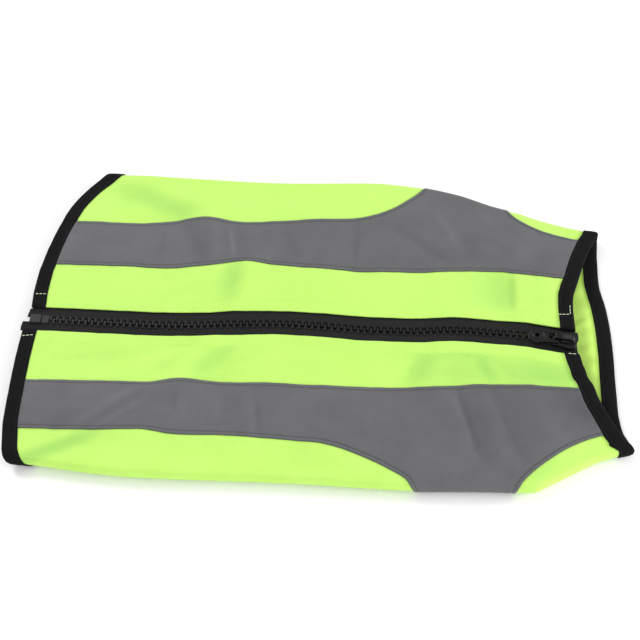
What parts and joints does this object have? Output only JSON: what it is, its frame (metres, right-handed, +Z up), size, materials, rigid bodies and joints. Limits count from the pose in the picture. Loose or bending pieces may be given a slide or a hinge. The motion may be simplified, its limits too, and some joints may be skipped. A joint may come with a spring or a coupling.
{
  "type": "dog vest",
  "caption": "Lime knit dog vest with reflective strips, black bindings and a full-length zip, laid flat.",
  "frame": {"origin": "the middle of the laid vest's outline, on the surface that it lies on", "axes": "+X from the hem to the neck, along the zip; +Y to the vest's far side; +Z up, out of the zip side"},
  "size_m": [0.3208, 0.2052, 0.0145],
  "materials": {
    "lime_knit": "matte ribbed knit",
    "reflective_grey": "smooth beaded reflective tape, dull",
    "black_binding": "fine ribbed elastic tape, matte",
    "black_zip_tape": "woven, matte",
    "black_moulded_plastic": "satin moulded",
    "black_painted_metal": "satin black paint"
  },
  "bodies": {
    "vest": {"side_panel_far": "lime_knit", "side_panel_near": "lime_knit", "belly_panel": "lime_knit", "reflective_strip_far": "reflective_grey", "reflective_strip_near": "reflective_grey", "hem_binding": "black_binding", "neck_binding": "black_binding", "leg_binding_far": "black_binding", "leg_binding_near": "black_binding", "zip_tape_far": "black_zip_tape", "zip_tape_near": "black_zip_tape", "zip_chain": "black_moulded_plastic", "zip_pin": "black_moulded_plastic", "zip_box": "black_moulded_plastic", "zip_stop_far": "black_moulded_plastic", "zip_stop_near": "black_moulded_plastic", "zip_slider": "black_painted_metal"},
    "pull_tab": {"zip_pull_tab": "black_painted_metal"}
  },
  "joints": [
    {"name": "pull_tab_swing", "type": "hinge", "parent": "vest", "child": "pull_tab", "pos_m": [0.12462, -0.01301, 0.01253], "axis": [0.1501, 0.9887, 0], "range_deg": [0, 140]}
  ]
}
